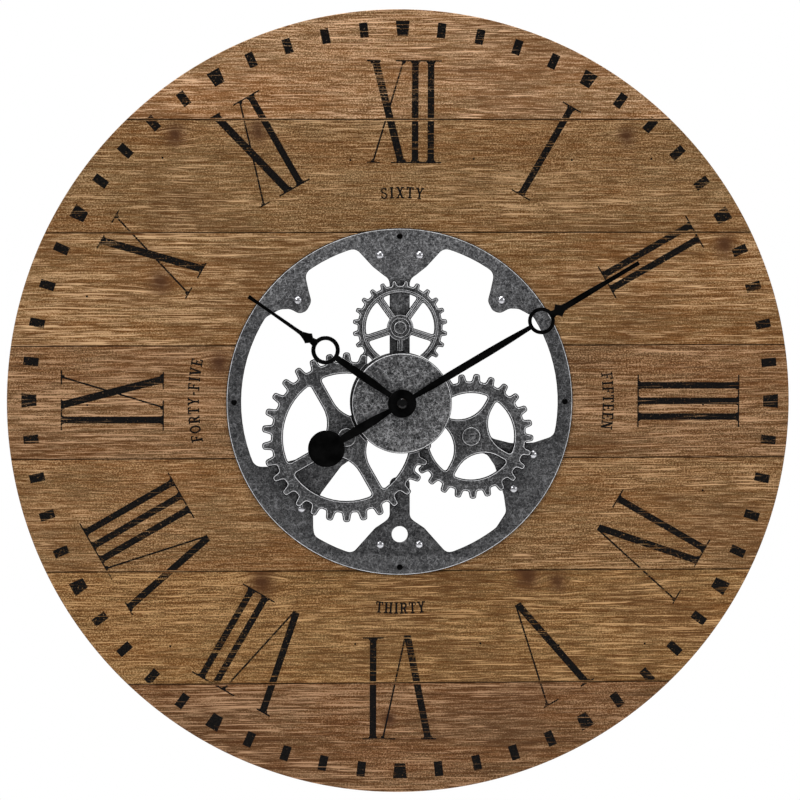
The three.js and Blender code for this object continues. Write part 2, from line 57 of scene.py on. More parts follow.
# ---- driving dimensions, in millimetres, as in the part's source ----------------------
DIAL_R = 342.9
WELL_R = 140.5
ROWS = 7
MIDDLE = ROWS // 2
ROW_PITCH = 98.7
GAP = 0.3
BOARD_BACK = -14.3
BOARD_FACE = -26.3
PLATE_BACK = -26.6
PLATE_FACE = -28.4
REAR_GEAR = (-34.0, -31.0)        # face and back
FRONT_GEAR = (-39.6, -36.6)
LARGE_AT = (-47.1, -30.3)
MEDIUM_AT = (62.2, -30.1)
SMALL_AT = (0.0, 65.2)
GEAR_THICK = 3.0
GEAR_WEAR_AND_HIGHLIGHT = (1.4, 0.85)          # a pale edge band, worn metal with a painted highlight, from and to these distances in from the outline
RIVET_R, RIVET_HIGH = 3.5, 2.4
CUP_R = 43.8
CUP_RIM = PLATE_FACE - GAP
CUP_FACE = -55.0
CUP_WALL = 1.5
HUB_HOLE_R = 38.3
NUT_FACE = CUP_FACE - GAP - 2.4
HOUR_HAND = (-60.2, -59.0)       # face and back
MINUTE_HAND = (-61.9, -60.7)
HANGER = (-3.7, -2.5)
WORD_R = 182.0                   # middle of the words printed round the well
WORDS_END, NUMERALS_START = WORD_R * 1.06, WORD_R * 1.10     # the printing wears more further out


# ---- shader nodes ---------------------------------------------------------------------
def srgb(r, g, b):
    """A linear colour from 0-255 display values."""
    lin = [(c / 255) / 12.92 if c <= 10 else ((c / 255 + 0.055) / 1.055) ** 2.4 for c in (r, g, b)]
    return (*lin, 1.0)


class Look:
    """One procedural material. A value is a number, a colour, or another node's output."""

    def __init__(self, name, **fixed):
        self.mat = bpy.data.materials.new(name)
        self.mat.use_nodes = True
        self.tree = self.mat.node_tree
        self.bsdf = self.tree.nodes["Principled BSDF"]
        for key, value in fixed.items():
            self.bsdf.inputs[key.replace("_", " ")].default_value = value

    def set(self, socket, value):
        if isinstance(value, bpy.types.NodeSocket):
            self.tree.links.new(value, socket)
        else:
            socket.default_value = value

    def node(self, kind, inputs=(), **attrs):
        n = self.tree.nodes.new("ShaderNode" + kind)
        for key, value in attrs.items():
            setattr(n, key, value)
        for key, value in dict(inputs).items():
            self.set(n.inputs[key], value)
        return n

    def place(self, scale=(1, 1, 1), loc=(0, 0, 0), rot=(0, 0, 0)):
        """The point on the object, moved, turned and scaled."""
        at = self.node("TexCoord").outputs["Object"]
        return self.node("Mapping", {"Vector": at, "Scale": scale, "Location": loc,
                                     "Rotation": rot}).outputs[0]

    def noise(self, vec, scale, detail=2.0, rough=0.5, warp=0.0):
        return self.node("TexNoise", {"Vector": vec, "Scale": scale, "Detail": detail, "Roughness": rough,
                                      "Distortion": warp}).outputs["Fac"]

    def math(self, op, a, b=0.0):
        return self.node("Math", {0: a, 1: b}, operation=op).outputs[0]

    def step(self, value, lo, hi, to=(0.0, 1.0)):
        """Smoothly from to[0] to to[1] as value goes from lo to hi."""
        return self.node("MapRange", {"Value": value, "From Min": lo, "From Max": hi, "To Min": to[0],
                                      "To Max": to[1]}, interpolation_type="SMOOTHSTEP").outputs[0]

    def mix(self, fac, a, b, blend="MIX"):
        n = self.node("Mix", data_type="RGBA", blend_type=blend)
        self.set(n.inputs[0], fac)
        self.set(n.inputs[6], a)
        self.set(n.inputs[7], b)
        return n.outputs[2]

    def split(self, vec):
        return self.node("SeparateXYZ", {0: vec}).outputs

    def join(self, x, y, z):
        return self.node("CombineXYZ", {0: x, 1: y, 2: z}).outputs[0]

    def bump(self, height, strength, distance):
        return self.node("Bump", {"Height": height, "Strength": strength, "Distance": distance}).outputs[0]

    def finish(self, colour, rough, normal=None):
        self.set(self.bsdf.inputs["Base Color"], colour)
        self.set(self.bsdf.inputs["Roughness"], rough)
        if normal is not None:
            self.set(self.bsdf.inputs["Normal"], normal)
        return self.mat


def tone(mean, *k):
    """A colour scaled by one factor, or by a factor for each of its channels."""
    k = k if len(k) == 3 else k * 3
    return tuple(min(1.0, c * f) for c, f in zip(mean, k)) + (1.0,)


def wood(name, mean, seed, knots=(), shade=1.0, inked=False, rustic=0.0, spread=1.0):
    """Brushed softwood, grain along X. mean is the board's mean colour; knots are (x, z, size) in mm;
    spread is how far its light and dark grain stand apart; inked is for the printing on it; shade, below 1,
    darkens the whole colour as painted shade, for the seam grooves."""
    g = Look(name, Specular_IOR_Level=0.06 if inked else 0.14)
    x, y, z = g.split(g.place())
    # the grain lines part around each knot
    for kx, kz, size in knots:
        dx = g.math("MULTIPLY", g.math("SUBTRACT", x, kx * MM), 1 / (size * 4.2 * MM))
        dz = g.math("SUBTRACT", z, kz * MM)
        dzn = g.math("MULTIPLY", dz, 1 / (size * 2.2 * MM))
        far = g.math("ADD", g.math("POWER", g.math("ABSOLUTE", dx), 2.0),
                     g.math("POWER", g.math("ABSOLUTE", dzn), 2.0))
        pull = g.math("MULTIPLY", g.math("EXPONENT", g.math("MULTIPLY", far, -1.0)), 0.80)
        z = g.math("SUBTRACT", z, g.math("MULTIPLY", dz, pull))
    drift = g.noise(g.join(g.math("MULTIPLY", x, 3.2), seed * 3.1, g.math("MULTIPLY", z, 9.0)), 1.0, 2.0)
    z = g.math("ADD", z, g.math("MULTIPLY", g.math("SUBTRACT", drift, 0.5), 0.012))

    def grain(fx, fz, detail=3.0, rough=0.55, off=0.0):
        along, up = g.math("MULTIPLY", x, fx), g.math("MULTIPLY", z, fz)
        through = g.math("ADD", g.math("MULTIPLY", y, fz * 0.3), seed + off)
        return g.noise(g.join(along, through, up), 1.0, detail, rough)

    def centred(value, gain):
        return g.math("MULTIPLY", g.math("SUBTRACT", value, 0.5), gain)

    bands = grain(1.3, 34.0, 4.0, 0.6)
    lines = grain(12.0, 740.0, 6.0, 0.72, 3.7)
    streaks = grain(62.0, 780.0, 3.0, 0.62, 8.9)
    fibre = grain(24.0, 950.0, 2.0, 0.5, 14.3)
    clump = grain(3.0, 22.0, 3.0, 0.6, 17.9)
    grit = g.noise(g.place((0.95, 1.0, 1.2), loc=(0, seed, 0)), 720.0, 3.0, 0.75)
    hue = grain(3.0, 16.0, 3.0, 0.6, 29.0)
    stain = grain(6.0, 11.0, 3.0, 0.6, 61.0)
    bared = g.step(clump, 0.38, 0.62)

    def shifted(*k):
        return tone(mean, *(f ** spread for f in k))

    deep, pale = shifted(0.50, 0.32, 0.13), shifted(2.9, 3.4, 4.4)
    level = g.math("ADD", g.math("ADD", 0.5, centred(bands, 0.9)),
                   g.math("MULTIPLY", centred(grit, 6.4), g.step(stain, 0.36, 0.64, (0.55, 1.15))))
    level = g.math("ADD", level, centred(streaks, 3.4))
    level = g.math("ADD", level, g.math("MULTIPLY", centred(lines, 4.4),
                                        g.math("ADD", g.math("MULTIPLY", bared, 0.75), 0.45)))
    colour = g.mix(g.step(hue, 0.45, 0.62), shifted(1.00, 1.01, 0.88), shifted(1.10, 0.97, 0.74))
    tint = g.step(grain(34.0, 430.0, 3.0, 0.6, 33.0), 0.38, 0.62)
    colour = g.mix(1.0, colour, g.mix(tint, (1.08, 0.985, 0.88, 1.0), (0.93, 1.015, 1.10, 1.0)), "MULTIPLY")
    colour = g.mix(g.step(stain, 0.50, 0.36, (0.0, 0.45)), colour, shifted(0.62, 0.55, 0.50))
    colour = g.mix(g.step(level, 0.62, -0.55), colour, deep)
    colour = g.mix(g.step(level, 0.42, 1.75), colour, pale)
    sparse = g.math("ADD", fibre, centred(clump, 0.4))
    colour = g.mix(g.step(sparse, 0.61, 0.67, (0.0, 0.95)), colour, shifted(3.2, 3.7, 4.8))
    split = g.math("ADD", grain(22.0, 960.0, 2.0, 0.5, 23.1), centred(clump, -0.3))
    colour = g.mix(g.step(split, 0.62, 0.69, (0.0, 0.75)), colour, shifted(0.46, 0.34, 0.20))
    height = g.math("ADD", g.math("MULTIPLY", lines, 0.8), g.math("ADD", g.math("MULTIPLY", fibre, 0.5),
                                                                  g.math("MULTIPLY", grit, 0.4)))
    for kx, kz, size in knots:
        p = g.place(scale=(1000 / size / 1.1, 1000 / size, 1000 / size / 1.2),
                    loc=(-kx / size / 1.1, -BOARD_FACE / size, -kz / size / 1.2))
        wob = g.noise(p, 1.1, 3.0, 0.6)
        dist = g.math("ADD", g.node("VectorMath", {0: p}, operation="LENGTH").outputs["Value"],
                      g.math("MULTIPLY", g.math("SUBTRACT", wob, 0.5), 1.0))
        dist = g.math("ADD", dist, centred(lines, 2.2))
        colour = g.mix(g.step(dist, 3.4, 0.6, (0.0, 0.75)), colour, tone(mean, 0.46, 0.33, 0.26))
        colour = g.mix(g.step(dist, 1.5, 0.2, (0.0, 0.7)), colour, tone(mean, 0.30, 0.19, 0.13))
    if rustic:
        saw = g.noise(g.place((150.0, 150.0, 30.0), rot=(0, 0.25, 0)), 1.0, 3.0)
        colour = g.mix(g.step(saw, 0.45, 0.70, (0.0, rustic)), colour, pale)
        height = g.math("ADD", height, saw)
    # painted shade: the whole wood darkened, used for the seam grooves between boards
    if shade != 1.0:
        colour = g.mix(1.0, colour, (shade, shade, shade, 1.0), "MULTIPLY")
    rough = g.step(lines, 0.3, 0.7, (0.60, 0.78))
    if inked:
        # thin black paint, worn off along the raised grain
        patch = g.noise(g.place((16.0, 16.0, 20.0), loc=(seed, 0, 0)), 1.0, 2.0)
        rub = g.math("ADD", grain(20.0, 900.0, 2.0, 0.6, 47.0), centred(patch, 0.28))
        chip = g.math("ADD", g.noise(g.place((600.0, 600.0, 800.0), loc=(0, seed, 0)), 1.0, 2.0),
                      centred(patch, 0.25))
        out = g.node("VectorMath", {0: g.place((1.0, 0.0, 1.0))}, operation="LENGTH").outputs["Value"]
        whole = g.step(out, WORDS_END * MM, NUMERALS_START * MM, (0.25, 1.0))    # small words wear less
        worn = g.math("MAXIMUM", g.step(rub, 0.625, 0.68, (0.0, 0.75)), g.step(chip, 0.63, 0.71, (0.0, 0.5)))
        worn = g.math("MULTIPLY", worn, whole)
        black = g.mix(g.step(grit, 0.40, 0.70), srgb(6, 5, 5), srgb(26, 23, 20))
        colour = g.mix(worn, black, colour)
        rough = g.step(worn, 0.0, 1.0, (0.55, 0.74))
    return g.finish(colour, rough, g.bump(height, 0.40, 0.0006))


def cast_metal(name, dark, mid, pale, rough=(0.36, 0.55), scratch=0.55, metallic=0.85, paler_top=0.0,
               gloss=0.4):
    """Mottled, burnished dark metal with light wispy scratches, made paler towards the top by the given
    fraction.
    """
    g = Look(name, Metallic=metallic, Specular_IOR_Level=gloss)
    p = g.place()
    cloud = g.noise(p, 300.0, 4.0, 0.6, 0.5)
    grainy = g.noise(p, 680.0, 2.0, 0.6)
    big = g.noise(p, 40.0, 3.0, 0.55)
    mottle = g.math("ADD", g.math("MULTIPLY", cloud, 0.35), g.math("MULTIPLY", grainy, 0.65))
    colour = g.mix(g.step(mottle, 0.36, 0.55), dark, mid)
    colour = g.mix(g.step(mottle, 0.52, 0.72, (0.0, 0.6)), colour, pale)
    colour = g.mix(g.step(big, 0.58, 0.38, (0.0, 0.40)), colour, dark)
    # wisps: a broken, crumpled net of fine lines, and short straight scratches
    wisp = None
    for size, off in ((150.0, 0.0), (270.0, 5.0), (460.0, 11.0)):
        at = g.place(loc=(off, off, off))
        crumple = g.node("TexNoise", {"Vector": at, "Scale": size * 1.6, "Detail": 3.0, "Roughness": 0.6})
        at = g.node("VectorMath", {0: crumple.outputs["Color"], 1: (0.9 / size,) * 3, 2: at},
                    operation="MULTIPLY_ADD").outputs[0]
        net = g.node("TexVoronoi", {"Vector": at, "Scale": size}, feature="DISTANCE_TO_EDGE")
        line = g.step(net.outputs["Distance"], 0.07, 0.01)
        broken = g.step(g.noise(g.place(loc=(0, off, 3)), size * 0.9, 3.0, 0.6), 0.50, 0.60)
        line = g.math("MULTIPLY", line, broken)
        wisp = line if wisp is None else g.math("MAXIMUM", wisp, line)
    for turn, seed in ((0.7, 3.0), (-1.1, 8.0)):
        s = g.noise(g.place((60.0, 4.0, 1500.0), loc=(seed, seed, 0), rot=(0, turn, 0)), 1.0, 1.0)
        wisp = g.math("MAXIMUM", wisp, g.step(s, 0.72, 0.76))
    colour = g.mix(g.math("MULTIPLY", wisp, scratch), colour, pale)
    # paler towards the top, by height alone
    if paler_top:
        high = g.step(g.split(p)[2], 0.02, 0.13, (1.0, 1.0 + paler_top))
        colour = g.mix(1.0, colour, g.join(high, high, high), "MULTIPLY")
    height = g.math("ADD", g.math("MULTIPLY", cloud, 0.7), g.math("MULTIPLY", grainy, 0.3))
    return g.finish(colour, g.step(mottle, 0.38, 0.64, rough), g.bump(height, 0.16, 0.0004))


def plain_metal(name, mean, vary, rough, lines=0.0):
    """Turned or plated metal: one tone, faint smears, and fine turning lines where asked."""
    g = Look(name, Metallic=1.0)
    p = g.place()
    smear = g.noise(p, 160.0, 4.0, 0.6)
    fine = g.noise(g.place((900.0, 900.0, 900.0)), 1.0, 2.0)
    normal = g.bump(g.math("ADD", smear, g.math("MULTIPLY", fine, 0.2 + lines)), 0.06 + lines * 0.2, 0.0003)
    colour = g.mix(g.step(smear, 0.35, 0.65), tone(mean, 1 - vary), tone(mean, 1 + vary))
    return g.finish(colour, g.step(smear, 0.3, 0.7, rough), normal)


def moulded(name, mean, rough, gloss, pebble, strength):
    """Moulded plastic: an even tone, a fine spark-eroded texture and faint handling marks."""
    g = Look(name, Specular_IOR_Level=gloss)
    p = g.place()
    grit = g.noise(p, pebble, 2.0, 0.5)
    rub = g.noise(p, 70.0, 4.0, 0.6)
    pale = tuple(min(1.0, c * 1.15 + 0.002) for c in mean[:3]) + (1.0,)
    return g.finish(g.mix(g.step(rub, 0.35, 0.68), tone(mean, 0.86), pale), g.step(rub, 0.3, 0.7, rough),
                    g.bump(grit, strength, 0.0002))


# board rows from the top: mean colour, and knots by row number
ROW_MEAN = [srgb(129, 96, 65), srgb(111, 82, 51), srgb(117, 87, 55), srgb(108, 78, 50), srgb(111, 81, 50),
            srgb(111, 80, 46), srgb(100, 71, 45)]
KNOTS = {2: [(-124, 237, 4.5), (-196, 234, 4.0), (199, 232, 3.5)], 3: [(286, 137, 4.5), (-209, 106, 4.5)],
         4: [(-158, 34, 4.0)],
         6: [(113, -154, 5.0), (139, -159, 4.0), (-121, -158, 5.5)], 7: [(-9, -278, 3.0)]}
PINE_TONE = srgb(171, 136, 92)

M = {
    # the iron is made paler towards the top
    "iron": cast_metal("blackened_iron", srgb(48, 48, 50), srgb(84, 84, 85), srgb(146, 146, 148),
                       scratch=0.65, paler_top=0.8),
    "pewter": cast_metal("cast_pewter", srgb(42, 42, 44), srgb(104, 104, 105), srgb(205, 205, 207),
                         scratch=0.65),
    # pale edge bands: partly metal worn bright, partly painted highlight for the light caught along the edges
    "edge_wear_and_highlight": cast_metal("pewter_rim_worn_and_highlit", srgb(160, 160, 162), srgb(214, 214, 216),
                              srgb(244, 244, 246), (0.35, 0.5), 0.4, 0.25),
    "gunmetal": cast_metal("cast_gunmetal", srgb(46, 46, 48), srgb(88, 88, 89), srgb(176, 176, 178)),
    # near black and matte: painted shade on the side walls of plates, gears, pins and the cup; the nail heads
    # take it as their own dark colour
    "painted_wall_shade_and_nail_black": cast_metal("iron_wall_painted_shade_and_nail_black", srgb(6, 6, 7), srgb(12, 12, 13), srgb(26, 26, 28),
                            (0.7, 0.85), metallic=0.0, gloss=0.05),
    "chrome": plain_metal("rivet_plating", srgb(190, 190, 194), 0.10, (0.26, 0.34)),
    "zinc": plain_metal("zinc_plate", srgb(172, 174, 178), 0.14, (0.28, 0.44), 0.3),
    "brass": plain_metal("turned_brass", srgb(196, 158, 92), 0.14, (0.22, 0.36), 0.4),
    "black": moulded("satin_black_paint", srgb(2, 2, 2), (0.28, 0.36), 0.03, 2200.0, 0.03),
    "black_nut": moulded("polished_black_paint", srgb(2, 2, 2), (0.06, 0.09), 0.30, 2200.0, 0.0),
    "plastic": moulded("black_moulding", srgb(30, 30, 32), (0.42, 0.58), 0.5, 1500.0, 0.14),
    "nylon": moulded("white_nylon", srgb(222, 217, 203), (0.40, 0.50), 0.5, 900.0, 0.05),
    "pine": wood("rough_pine", PINE_TONE, 5.5, rustic=0.25, spread=0.4),
    "wrap": moulded("printed_cell_wrap", srgb(58, 76, 104), (0.24, 0.34), 0.5, 900.0, 0.02),
    "wrap_band": moulded("pale_cell_band", srgb(196, 200, 204), (0.24, 0.34), 0.5, 900.0, 0.02),
}


# ---- mesh tools -----------------------------------------------------------------------
def piece(name, verts, faces, mats, body, node, ids=None, sharp=22.0):
    """A named piece from mesh data in millimetres, riding on its body and standing for a CAD node, if any.
    ids gives each face's material."""
    me = bpy.data.meshes.new(name)
    me.from_pydata([(x * MM, y * MM, z * MM) for x, y, z in verts], [], faces)
    for m in mats:
        me.materials.append(m)
    if ids is not None:
        me.polygons.foreach_set("material_index", ids)
    me.validate()
    bm = bmesh.new()
    bm.from_mesh(me)
    bmesh.ops.remove_doubles(bm, verts=bm.verts, dist=1e-6)
    bmesh.ops.dissolve_degenerate(bm, edges=bm.edges, dist=1e-6)
    bm.to_mesh(me)
    bm.free()
    me.shade_smooth()
    me.set_sharp_from_angle(angle=math.radians(sharp))
    obj = bpy.data.objects.new(name, me)
    bpy.context.scene.collection.objects.link(obj)
    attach(obj, body)
    if node:
        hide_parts(node)
    return obj


def clock(deg, r, at=(0.0, 0.0)):
    """The point at a clock angle, clockwise from twelve, and a radius."""
    a = math.radians(deg)
    return at[0] + r * math.sin(a), at[1] + r * math.cos(a)


def face_loops(node, side, depth=None):
    """Closed outlines (x, z), in mm, of a CAD node's flat faces that look along side * Y.
    The solid is on the left of each outline, as seen from the front for side -1."""
    bm = bmesh.new()
    bm.from_mesh(NODES[node].data)
    bmesh.ops.remove_doubles(bm, verts=bm.verts, dist=2e-6)
    bm.verts.index_update()
    flat = [f for f in bm.faces if f.normal.y * side > 0.99]
    if depth is None:
        depth = (max if side > 0 else min)(f.calc_center_median().y for f in flat) / MM
    flat = [f for f in flat if abs(f.calc_center_median().y / MM - depth) < 0.02]
    edges = set()
    for f in flat:
        ids = [v.index for v in f.verts]
        for a, b in zip(ids, ids[1:] + ids[:1]):
            if (b, a) in edges:
                edges.discard((b, a))
            else:
                edges.add((a, b))
    place = {v.index: (v.co.x / MM, v.co.z / MM) for v in bm.verts}
    bm.free()
    after = {}
    for a, b in sorted(edges):
        after.setdefault(a, []).append(b)
    loops = []
    while after:
        start = at = min(after)
        ids = []
        while at in after:
            ids.append(at)
            nxt = after[at].pop()
            if not after[at]:
                del after[at]
            at = nxt
            if at == start:
                break
        loop = [place[i] for i in ids]
        if side > 0:
            loop.reverse()
        loops.append(tidy(loop))
    return loops


def tidy(loop):
    """The loop without points that sit on a straight line between their neighbours."""
    kept = []
    n = len(loop)
    for i in range(n):
        (ax, az), (bx, bz), (cx, cz) = loop[i - 1], loop[i], loop[(i + 1) % n]
        u, v = (bx - ax, bz - az), (cx - bx, cz - bz)
        lu, lv = math.hypot(*u), math.hypot(*v)
        if lu < 1e-4:
            continue
        if abs(u[0] * v[1] - u[1] * v[0]) > 1e-4 * lu * lv or u[0] * v[0] + u[1] * v[1] < 0:
            kept.append(loop[i])
    return kept


def inset(loop, d):
    """The loop moved by d into the solid on its left."""
    out = []
    n = len(loop)
    for i in range(n):
        (ax, az), (bx, bz), (cx, cz) = loop[i - 1], loop[i], loop[(i + 1) % n]
        l1, l2 = math.hypot(bx - ax, bz - az) or 1.0, math.hypot(cx - bx, cz - bz) or 1.0
        n1, n2 = (-(bz - az) / l1, (bx - ax) / l1), (-(cz - bz) / l2, (cx - bx) / l2)
        k = d / max(0.35, 1.0 + n1[0] * n2[0] + n1[1] * n2[1])
        out.append((bx + (n1[0] + n2[0]) * k, bz + (n1[1] + n2[1]) * k))
    # where the outline turns tighter than d, its points run together into one
    for _ in range(12):
        turned = []
        for i in range(n):
            j = (i + 1) % n
            was = (loop[j][0] - loop[i][0], loop[j][1] - loop[i][1])
            now = (out[j][0] - out[i][0], out[j][1] - out[i][1])
            turned.append(was[0] * now[0] + was[1] * now[1] < -1e-9)
        if not any(turned) or all(turned):
            break
        start = turned.index(False)
        run = []
        for s in range(1, n + 1):
            i = (start + s) % n
            if turned[i]:
                run.append(i)
            elif run:
                run.append((run[-1] + 1) % n)
                mean = tuple(sum(out[j][c] for j in run) / len(run) for c in (0, 1))
                for j in run:
                    out[j] = mean
                run = []
    return out


def cross2(a, b, c):
    return (b[0] - a[0]) * (c[1] - a[1]) - (b[1] - a[1]) * (c[0] - a[0])


def fill(loops):
    """Triangles, anticlockwise seen from the front, over the area inside the loops."""
    flat = [p for loop in loops for p in loop]
    tris = []
    for a, b, c in tessellate_polygon([[Vector((x, z, 0.0)) for x, z in loop] for loop in loops]):
        s = cross2(flat[a], flat[b], flat[c])
        if abs(s) > 1e-9:
            tris.append((a, b, c) if s > 0 else (a, c, b))
    return tris


FRONT, BACK, PRINT = -1, 99, -2      # the places of a shell's faces; a strip's is its ring's number


def stack(rings):
    """A closed shell through rings of (loops, y), from the front to the back: vertices, faces and each
    face's place."""
    verts, faces, ids = [], [], []
    total = sum(len(loop) for loop in rings[0][0])
    for loops, y in rings:
        verts += [(x, y, z) for loop in loops for x, z in loop]
    for t in fill(rings[0][0]):
        faces.append(t)
        ids.append(FRONT)
    base = total * (len(rings) - 1)
    for a, b, c in fill(rings[-1][0]):
        faces.append((base + a, base + c, base + b))
        ids.append(BACK)
    for k in range(len(rings) - 1):
        start = 0
        for loop in rings[0][0]:
            n = len(loop)
            for i in range(n):
                a, b = start + i, start + (i + 1) % n
                faces.append((k * total + a, (k + 1) * total + a, (k + 1) * total + b, k * total + b))
                ids.append(k)
            start += n
    return verts, faces, ids


HOLE_ROUND, HOLE_SHARE = 45.0, 0.35  # a drilled hole's largest girth in mm, and its share of an inset


def shrunk(loops, *steps):
    """Rings for stack: the loops moved in by each (inset, y), and small drilled holes by less."""
    shares = [HOLE_SHARE if sum(math.dist(a, b) for a, b in zip(loop, loop[1:] + loop[:1])) < HOLE_ROUND
              else 1.0 for loop in loops]
    return [([inset(loop, d * share) if d else loop for loop, share in zip(loops, shares)], y)
            for d, y in steps]


PLATE_KIND = {FRONT: 0, 0: 1, 1: 2, 2: 2, 3: 2, BACK: 0}     # materials: face, pale edge (worn metal and painted highlight), wall (near black, painted shade)


def plate_shell(loops, face, back, edge, lip):
    """A plate inside outlines: a flat face, an edge band from edge to lip in from the outline, and walls
    that flare from there."""
    return stack(shrunk(loops, (edge, face), (lip, face + 0.12), (0, face + 0.9), (0, back - 0.3),
                        (0.3, back)))


def plate_piece(name, node, span, worn, mats, body, wear_and_highlight_from=0.0):
    """A plate through a CAD node's own outline. span is its face and back; worn is its edge and lip; only
    edges beyond the radius given last get the pale edge material, worn metal with a painted highlight."""
    verts, faces, ids = plate_shell(face_loops(node, -1), *span, *worn)
    slots = [0 if i == 0 and math.hypot(verts[f[0]][0], verts[f[0]][2]) < wear_and_highlight_from else PLATE_KIND[i]
             for f, i in zip(faces, ids)]
    return piece(name, verts, faces, mats, body, node, slots)


def lathe(profile, n, at=(0.0, 0.0)):
    """A body turned about the Y axis through at. profile is (radius, y), front centre to back centre, or a
    closed ring when it doesn't touch the axis."""
    verts, faces, rows = [], [], []
    for r, y in profile:
        if r < 1e-6:
            rows.append([len(verts)] * n)
            verts.append((at[0], y, at[1]))
        else:
            rows.append(list(range(len(verts), len(verts) + n)))
            verts += [(x, y, z) for x, z in (clock(360 * i / n, r, at) for i in range(n))]
    pairs = list(zip(rows, rows[1:]))
    if profile[0][0] > 1e-6 and profile[-1][0] > 1e-6:
        pairs.append((rows[-1], rows[0]))
    for up, low in pairs:
        for i in range(n):
            j = (i + 1) % n
            quad = []
            for v in (up[i], up[j], low[j], low[i]):
                if v not in quad:
                    quad.append(v)
            if len(quad) > 2:
                faces.append(tuple(quad))
    return verts, faces


def merge(parts):
    """Several (verts, faces[, ids]) as one."""
    verts, faces, ids = [], [], []
    for part in parts:
        base = len(verts)
        verts += part[0]
        faces += [tuple(base + i for i in f) for f in part[1]]
        ids += list(part[2]) if len(part) > 2 else [0] * len(part[1])
    return verts, faces, ids


def bands(faces, n, ids):
    """Each face's material on a lathed body of n sides: ids has one for each band, the last for the rest."""
    return [ids[min(k // n, len(ids) - 1)] for k in range(len(faces))]


def turned_piece(name, profile, n, at, mats, node, ids=(0,), sharp=28.0):
    """A lathed piece of the fixed body; ids gives the material of each band of its profile."""
    verts, faces = lathe(profile, n, at)
    return piece(name, verts, faces, mats, FIXED, node, bands(faces, n, ids), sharp)


def dress(node, mat, soft=0.0):
    """A CAD node that stays: its material, and softened edges where its shape allows."""
    obj = NODES[node]
    obj.data.materials.clear()
    obj.data.materials.append(mat)
    if soft:
        weld = obj.modifiers.new("weld", "WELD")
        weld.merge_threshold = 2e-6
        bevel = obj.modifiers.new("soft_edges", "BEVEL")
        bevel.width = soft * MM
        bevel.segments = 2
        bevel.limit_method = "ANGLE"
        bevel.angle_limit = math.radians(40)
        bevel.harden_normals = False


# ---- lettering on the dial ------------------------------------------------------------
# every drawing is a list of convex polygons (u to the right, v up), in millimetres
def bar(u0, v0, u1, v1, w):
    """A straight stroke from one point to another."""
    d = math.hypot(u1 - u0, v1 - v0)
    nu, nv = -(v1 - v0) / d / 2, (u1 - u0) / d / 2
    return [(u0 - nu * w, v0 - nv * w), (u1 - nu * w, v1 - nv * w), (u1 + nu * w, v1 + nv * w),
            (u0 + nu * w, v0 + nv * w)]


def slant(u0, u1, half, v0=0.0, v1=90.0):
    """A sloping stroke cut level at its two ends; u0 at the foot, u1 at the top."""
    return [(u0 - half, v0), (u0 + half, v0), (u1 + half, v1), (u1 - half, v1)]


CAP = 90.0                       # height of the numerals
SERIF = 1.25
SPLAY_HIGH, SPLAY_WIDE = 2.2, 1.3
FOOT = 207.6                     # radius of the numerals' feet
MARK_R, MARK_HIGH = 318.6, 13.2  # the minute marks' inner radius, and their height
PRINT_AT, PRINT_TURN = (1.5, 1.0), 0.22      # the print sits a little off the dial, in mm and degrees


def serif(u0, u1, top):
    v = CAP - SERIF if top else 0.0
    return [(u0, v), (u1, v), (u1, v + SERIF), (u0, v + SERIF)]


def bracket(u, half, top):
    """The small splay where a stroke meets its serif."""
    v0, v1 = ((CAP - SERIF - SPLAY_HIGH, CAP - SERIF + 0.1) if top
              else (SERIF + SPLAY_HIGH, SERIF - 0.1))
    wide = half + SPLAY_WIDE
    quad = [(u - half, v0), (u + half, v0), (u + wide, v1), (u - wide, v1)]
    return quad if top else quad[::-1]


# for each letter of a numeral: its strokes, as (foot, top, half width); its serifs, at the top and at the
# foot; and how far it reaches to the left and to the right of its middle
STROKES = {
    "I": ([(0.0, 0.0, 2.9)], [(-9.2, 9.2)], [(-9.2, 9.2)], 9.2, 9.2),
    "X": ([(11.5, -11.5, 3.35), (-13.5, 13.5, 0.8)], [(-18.9, -6.4), (6.6, 19.0)],
          [(-18.6, -7.2), (2.4, 17.6)], 18.9, 19.0),
    "V": ([(-0.6, -19.2, 3.1), (1.0, 20.8, 0.8)], [(-26.4, -13.0), (9.6, 24.6)], [], 26.4, 24.6),
}
# small shifts of whole numerals, and the distance between neighbouring letters
NUDGE = {"XII": 1.4, "IV": 2.1, "VIII": 1.0, "X": 1.0, "XI": 1.0, "VI": 0.6}
STEP = {"II": 13.75, "IV": 31.2, "VI": 29.4, "IX": 24.3, "XI": 23.6}


def numeral(text):
    """A numeral as polygons about u = 0, feet on v = 0."""
    at = [0.0]
    for pair in zip(text, text[1:]):
        at.append(at[-1] + STEP["".join(pair)])
    left, right = at[0] - STROKES[text[0]][3], at[-1] + STROKES[text[-1]][4]
    shift = -(left + right) / 2 + NUDGE.get(text, 0.0)
    out = []
    for ch, u in zip(text, at):
        u += shift
        strokes, tops, feet, _, _ = STROKES[ch]
        low = -1.6 if ch == "V" else 0.0
        for foot, top, half in strokes:
            out += [slant(u + foot, u + top, half, low), bracket(u + top, half, True)]
            if feet:
                out.append(bracket(u + foot, half, False))
        out += [serif(u + a, u + b, True) for a, b in tops] + [serif(u + a, u + b, False) for a, b in feet]
    return out


NUMERALS = ["XII", "I", "II", "III", "IV", "V", "VI", "VII", "VIII", "IX", "X", "XI"]


def ring_arc(cu, cv, ru, rv, a0, a1, w, n):
    """A curved stroke as short bars; angles anticlockwise from the right."""
    pts = [(cu + ru * math.cos(math.radians(a0 + (a1 - a0) * i / n)),
            cv + rv * math.sin(math.radians(a0 + (a1 - a0) * i / n))) for i in range(n + 1)]
    return [bar(*p, *q, w) for p, q in zip(pts, pts[1:])]


